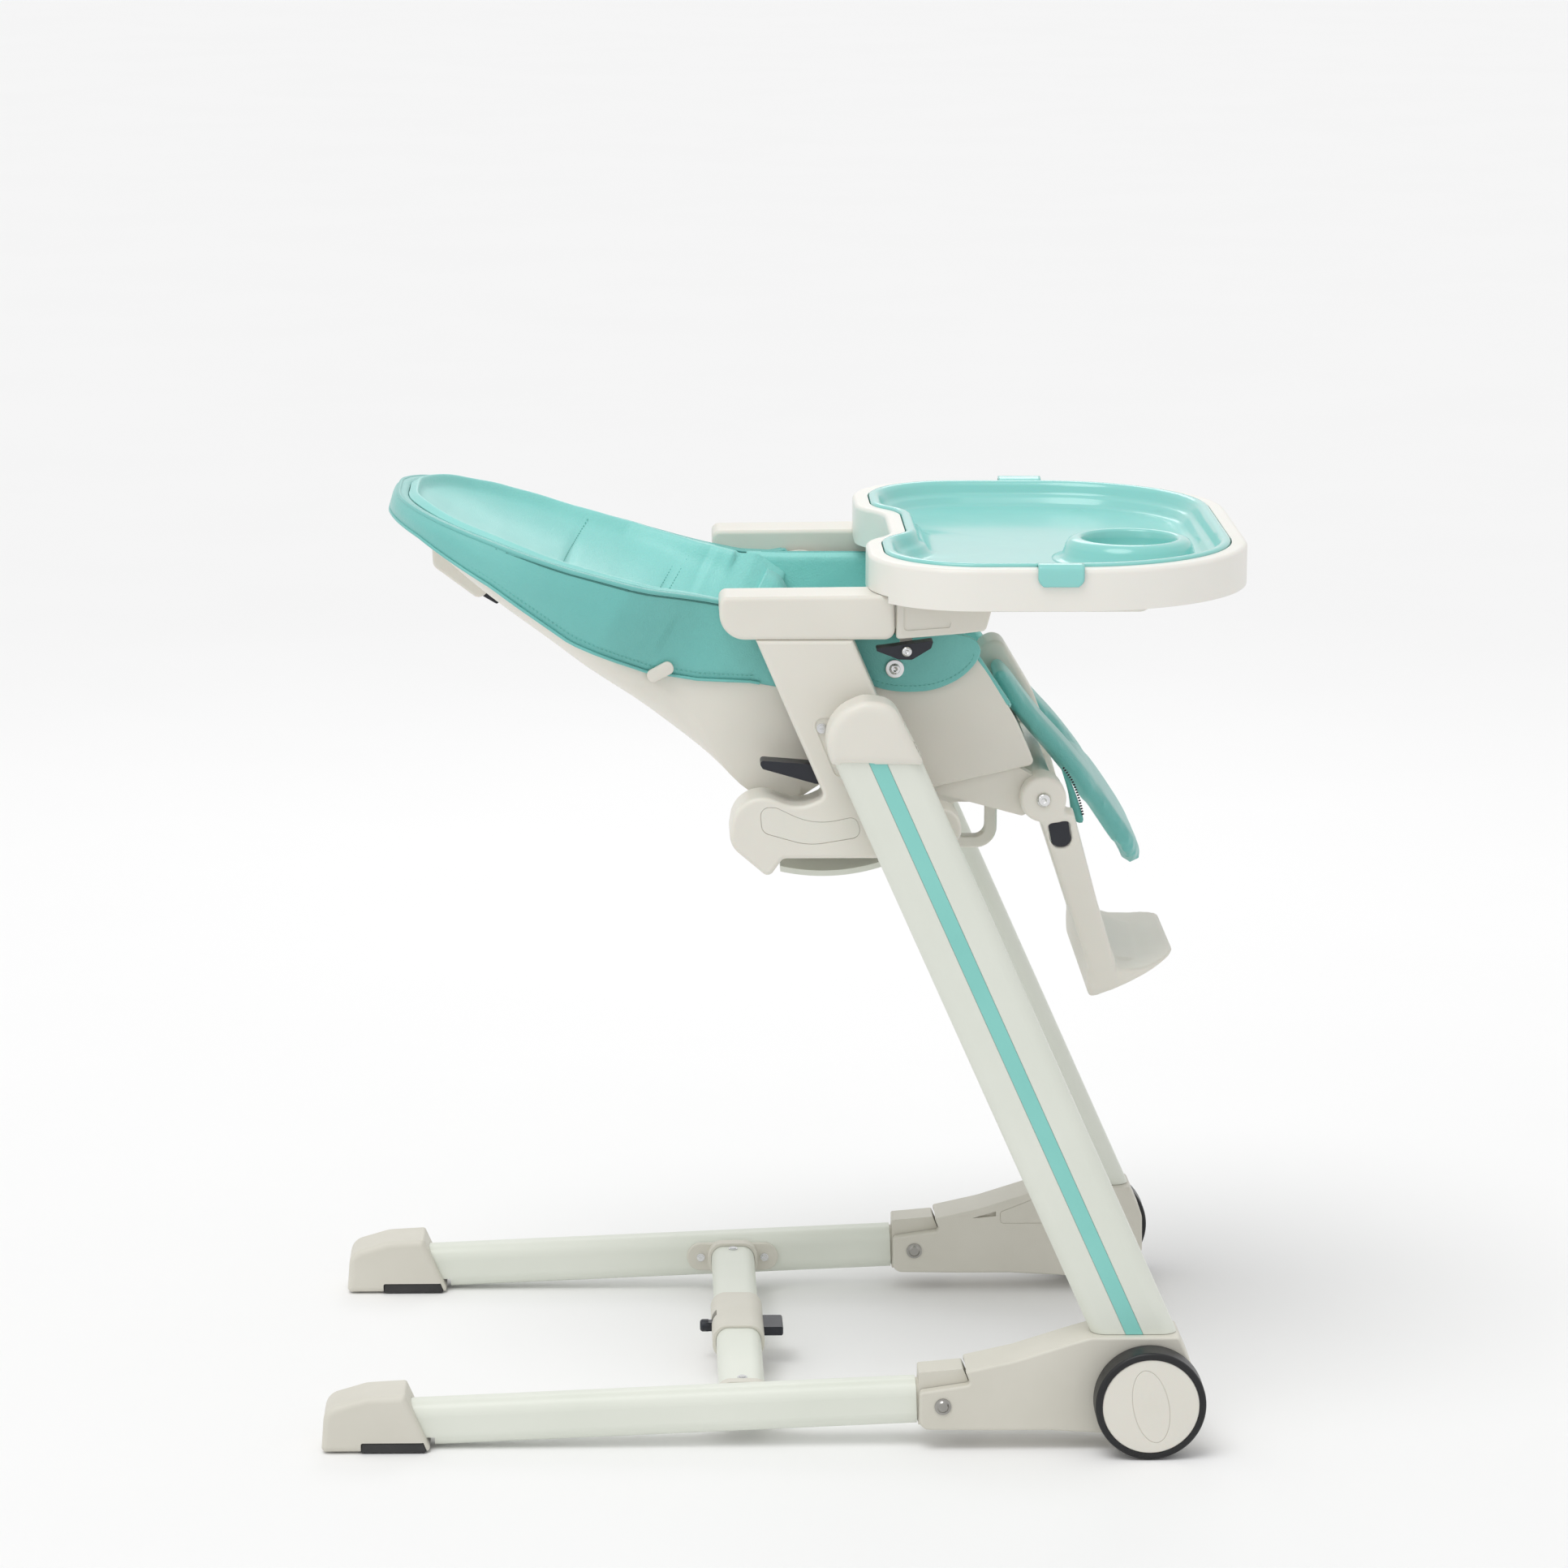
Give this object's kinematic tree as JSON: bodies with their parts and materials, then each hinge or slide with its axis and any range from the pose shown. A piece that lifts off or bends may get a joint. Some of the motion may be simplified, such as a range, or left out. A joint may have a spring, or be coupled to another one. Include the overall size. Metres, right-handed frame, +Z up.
{
  "type": "baby high chair",
  "caption": "Folding baby high chair: reclining padded seat sliding on leaning legs, two-layer tray with cup holder, swinging footrest, base rails with fold pedal, front wheels.",
  "frame": {"origin": "on the floor under the middle of the chair's bounding box", "axes": "+X the way the child faces, +Y to the child's left, +Z up"},
  "size_m": [0.8373, 0.585, 0.8397],
  "materials": {
    "painted_tube": "satin powder coat, faintly green off-white",
    "foot_plastic": "fine satin moulding, warm grey-beige",
    "seat_plastic": "smooth satin moulding, warm off-white",
    "tray_plastic": "glossy off-white",
    "aqua_plastic": "glossy aqua",
    "teal_trim": "satin teal film",
    "teal_leather": "soft coated cloth, fine grain",
    "dark_plastic": "near black, semi-gloss",
    "bright_metal": "bright plated",
    "steel": "plain turned steel",
    "pad_rubber": "soft grey rubber",
    "tyre_rubber": "black, smooth",
    "webbing": "woven strap"
  },
  "bodies": {
    "base": {"base_rails": "painted_tube", "rail_hinge_ends": "foot_plastic", "rear_feet": "foot_plastic", "foot_pads": "pad_rubber", "crossbar": "painted_tube", "pedal_housing": "foot_plastic", "crossbar_brackets": "foot_plastic", "base_fasteners": "bright_metal", "pedal_pivot": "steel"},
    "pedal": {"fold_pedal": "dark_plastic"},
    "legs": {"hinge_housing_left": "foot_plastic", "hinge_housing_right": "foot_plastic", "fold_pins": "steel", "wheel_axles": "steel", "leg_left": "painted_tube", "leg_right": "painted_tube", "leg_strips": "teal_trim", "leg_caps": "seat_plastic"},
    "left_wheel": {"tyre_left": "tyre_rubber", "wheel_left": "seat_plastic"},
    "right_wheel": {"tyre_right": "tyre_rubber", "wheel_right": "seat_plastic"},
    "seat": {"side_frame_left": "seat_plastic", "side_frame_right": "seat_plastic", "frame_inlays": "seat_plastic", "frame_lids": "seat_plastic", "height_sliders": "seat_plastic", "armrest_left": "seat_plastic", "armrest_right": "seat_plastic", "seat_pan": "seat_plastic", "seat_fasteners": "bright_metal", "under_seat_beam": "painted_tube", "footrest_brackets": "seat_plastic", "crotch_post": "seat_plastic", "handle_guide": "seat_plastic", "seat_cushion": "teal_leather", "cover_flaps": "teal_leather", "cover_buttons": "bright_metal", "harness_buckle": "dark_plastic", "lap_straps": "webbing"},
    "pull_loop": {"fold_handle": "seat_plastic"},
    "left_height_lever": {"height_lever_left": "dark_plastic"},
    "right_height_lever": {"height_lever_right": "dark_plastic"},
    "backrest": {"backrest_shell": "seat_plastic", "back_cushion": "teal_leather", "back_cover": "teal_leather", "recline_housing": "seat_plastic"},
    "recline_grip": {"recline_handle": "dark_plastic"},
    "footrest": {"footrest_arms": "seat_plastic", "footrest_shaft": "painted_tube", "footplate": "seat_plastic", "calf_pad": "teal_leather"},
    "left_footrest_button": {"footrest_button_left": "dark_plastic"},
    "right_footrest_button": {"footrest_button_right": "dark_plastic"},
    "tray": {"tray_base": "tray_plastic", "tray_arms": "seat_plastic"},
    "left_tray_latch": {"tray_latch_left": "dark_plastic"},
    "right_tray_latch": {"tray_latch_right": "dark_plastic"},
    "food_tray": {"tray_insert": "aqua_plastic"}
  },
  "joints": [
    {"name": "pedal_press", "type": "hinge", "parent": "base", "child": "pedal", "pos_m": [-0.044, 0, 0.03403], "axis": [0, 1, 0], "range_deg": [0, 14], "stiffness_Nm_per_rad": 0.8, "springref_deg": -8.59},
    {"name": "leg_fold", "type": "hinge", "parent": "base", "child": "legs", "pos_m": [0.1355, 0, 0.0414], "axis": [0, -1, 0], "range_deg": [0, 66]},
    {"name": "left_wheel_spin", "type": "hinge", "parent": "legs", "child": "left_wheel", "pos_m": [0.3208, 0.279, 0.05], "axis": [0, 1, 0], "continuous": true},
    {"name": "right_wheel_spin", "type": "hinge", "parent": "legs", "child": "right_wheel", "pos_m": [0.3208, -0.279, 0.05], "axis": [0, 1, 0], "continuous": true},
    {"name": "seat_height", "type": "slide", "parent": "legs", "child": "seat", "axis": [0.4083, 0, -0.9128], "range_m": [0, 0.24]},
    {"name": "pull_loop_slide", "type": "slide", "parent": "seat", "child": "pull_loop", "axis": [0, 0, -1], "range_m": [0, 0.012], "stiffness_N_per_m": 600, "springref_m": -0.002},
    {"name": "left_height_lever_squeeze", "type": "hinge", "parent": "seat", "child": "left_height_lever", "pos_m": [0.036, 0.1825, 0.611], "axis": [0, 1, 0], "range_deg": [0, 12], "stiffness_Nm_per_rad": 0.5, "springref_deg": -8.59},
    {"name": "right_height_lever_squeeze", "type": "hinge", "parent": "seat", "child": "right_height_lever", "pos_m": [0.036, -0.1825, 0.611], "axis": [0, 1, 0], "range_deg": [0, 12], "stiffness_Nm_per_rad": 0.5, "springref_deg": -8.59},
    {"name": "backrest_recline", "type": "hinge", "parent": "seat", "child": "backrest", "pos_m": [0.0284, 0, 0.681], "axis": [0, 1, 0], "range_deg": [0, 50]},
    {"name": "recline_grip_pull", "type": "slide", "parent": "backrest", "child": "recline_grip", "axis": [-0.8746, 0, 0.4848], "range_m": [0, 0.003], "stiffness_N_per_m": 600, "springref_m": -0.002},
    {"name": "footrest_swing", "type": "hinge", "parent": "seat", "child": "footrest", "pos_m": [0.2267, 0, 0.579], "axis": [0, 1, 0], "range_deg": [-35, 15]},
    {"name": "left_footrest_button_press", "type": "slide", "parent": "footrest", "child": "left_footrest_button", "axis": [0, -1, 0], "range_m": [0, 0.003], "stiffness_N_per_m": 600, "springref_m": -0.002},
    {"name": "right_footrest_button_press", "type": "slide", "parent": "footrest", "child": "right_footrest_button", "axis": [0, 1, 0], "range_m": [0, 0.003], "stiffness_N_per_m": 600, "springref_m": -0.002},
    {"name": "tray_slide", "type": "slide", "parent": "seat", "child": "tray", "axis": [1, 0, 0], "range_m": [0, 0.06]},
    {"name": "left_tray_latch_squeeze", "type": "hinge", "parent": "tray", "child": "left_tray_latch", "pos_m": [0.1003, 0.189, 0.722], "axis": [0, 1, 0], "range_deg": [0, 10], "stiffness_Nm_per_rad": 0.5, "springref_deg": -8.59},
    {"name": "right_tray_latch_squeeze", "type": "hinge", "parent": "tray", "child": "right_tray_latch", "pos_m": [0.1003, -0.189, 0.722], "axis": [0, 1, 0], "range_deg": [0, 10], "stiffness_Nm_per_rad": 0.5, "springref_deg": -8.59},
    {"name": "food_tray_lift", "type": "slide", "parent": "tray", "child": "food_tray", "axis": [0, 0, 1], "range_m": [0, 0.12]}
  ]
}
